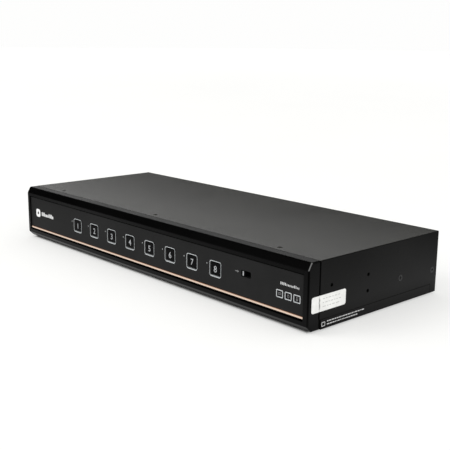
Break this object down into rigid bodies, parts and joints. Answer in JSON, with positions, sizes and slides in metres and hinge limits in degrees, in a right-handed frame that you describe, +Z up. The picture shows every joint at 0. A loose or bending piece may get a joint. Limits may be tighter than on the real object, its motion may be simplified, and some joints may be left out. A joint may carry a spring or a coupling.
{
  "type": "kvm switch",
  "caption": "Low black metal desktop switch box with a bevelled bezel, a row of square push buttons, a small slide switch and rows of rear sockets.",
  "frame": {"origin": "centre of the overall box at the bottom of the rubber feet", "axes": "+X to the right along the front, -Y the way the front faces, +Z up"},
  "size_m": [0.4344, 0.1726, 0.058],
  "materials": {
    "bezel_black": "satin moulded, smooth",
    "panel_black": "fine matt",
    "accent_orange": "satin, pale orange",
    "frame_grey": "satin, translucent",
    "light_pipe": "clear, unlit",
    "lens_smoke": "smoked",
    "cap_black": "fine matt",
    "switch_black": "matt",
    "case_black": "fine textured powder coat",
    "label_white": "blank printed film",
    "foot_rubber": "matt",
    "screw_black": "black oxide",
    "screw_steel": "zinc plated",
    "port_steel": "nickel plated",
    "connector_black": "moulded",
    "pin_brass": "plated",
    "board_green": "solder mask",
    "chip_black": "moulded epoxy",
    "sink_aluminium": "extruded",
    "can_aluminium": "sleeved can",
    "transformer_core": "ferrite and tape",
    "cable_grey": "ribbon",
    "wire_black": "insulated"
  },
  "bodies": {
    "chassis": {"front_bezel": "bezel_black", "front_panel": "panel_black", "accent_strip": "accent_orange", "button_frames": "frame_grey", "port_light_pipes": "light_pipe", "status_frames": "frame_grey", "status_lenses": "lens_smoke", "key_switches": "switch_black", "front_leds": "light_pipe", "slide_switch": "switch_black", "front_board": "board_green", "front_board_screws": "screw_steel", "base_tray": "case_black", "top_cover": "case_black", "cover_screws": "screw_black", "bezel_screws": "screw_steel", "side_label": "label_white", "rubber_feet": "foot_rubber", "rear_panel": "case_black", "rear_screws": "screw_black", "video_ports": "port_steel", "usb_b_ports": "port_steel", "usb_a_ports": "port_steel", "port_tongues": "connector_black", "audio_jacks": "connector_black", "ac_inlet": "connector_black", "inlet_pins": "pin_brass", "main_board": "board_green", "video_board": "board_green", "power_board": "board_green", "standoffs": "screw_steel", "board_screws": "screw_steel", "board_headers": "connector_black", "control_chips": "chip_black", "video_chips": "chip_black", "heat_sinks": "sink_aluminium", "board_capacitors": "can_aluminium", "power_capacitors": "can_aluminium", "power_transformer": "transformer_core", "tamper_switch": "switch_black", "backup_cell": "port_steel", "front_ribbon": "cable_grey", "power_wires": "wire_black"},
    "button_1": {"button_cap_1": "cap_black", "key_plunger_1": "switch_black"},
    "button_2": {"button_cap_2": "cap_black", "key_plunger_2": "switch_black"},
    "button_3": {"button_cap_3": "cap_black", "key_plunger_3": "switch_black"},
    "button_4": {"button_cap_4": "cap_black", "key_plunger_4": "switch_black"},
    "button_5": {"button_cap_5": "cap_black", "key_plunger_5": "switch_black"},
    "button_6": {"button_cap_6": "cap_black", "key_plunger_6": "switch_black"},
    "button_7": {"button_cap_7": "cap_black", "key_plunger_7": "switch_black"},
    "button_8": {"button_cap_8": "cap_black", "key_plunger_8": "switch_black"},
    "slider": {"slide_knob": "cap_black"}
  },
  "joints": [
    {"name": "press_1", "type": "slide", "parent": "chassis", "child": "button_1", "axis": [0, 1, 0], "range_m": [0, 0.0008], "stiffness_N_per_m": 1500},
    {"name": "press_2", "type": "slide", "parent": "chassis", "child": "button_2", "axis": [0, 1, 0], "range_m": [0, 0.0008], "stiffness_N_per_m": 1500},
    {"name": "press_3", "type": "slide", "parent": "chassis", "child": "button_3", "axis": [0, 1, 0], "range_m": [0, 0.0008], "stiffness_N_per_m": 1500},
    {"name": "press_4", "type": "slide", "parent": "chassis", "child": "button_4", "axis": [0, 1, 0], "range_m": [0, 0.0008], "stiffness_N_per_m": 1500},
    {"name": "press_5", "type": "slide", "parent": "chassis", "child": "button_5", "axis": [0, 1, 0], "range_m": [0, 0.0008], "stiffness_N_per_m": 1500},
    {"name": "press_6", "type": "slide", "parent": "chassis", "child": "button_6", "axis": [0, 1, 0], "range_m": [0, 0.0008], "stiffness_N_per_m": 1500},
    {"name": "press_7", "type": "slide", "parent": "chassis", "child": "button_7", "axis": [0, 1, 0], "range_m": [0, 0.0008], "stiffness_N_per_m": 1500},
    {"name": "press_8", "type": "slide", "parent": "chassis", "child": "button_8", "axis": [0, 1, 0], "range_m": [0, 0.0008], "stiffness_N_per_m": 1500},
    {"name": "slide_mode", "type": "slide", "parent": "chassis", "child": "slider", "axis": [1, 0, 0], "range_m": [0, 0.007]}
  ]
}
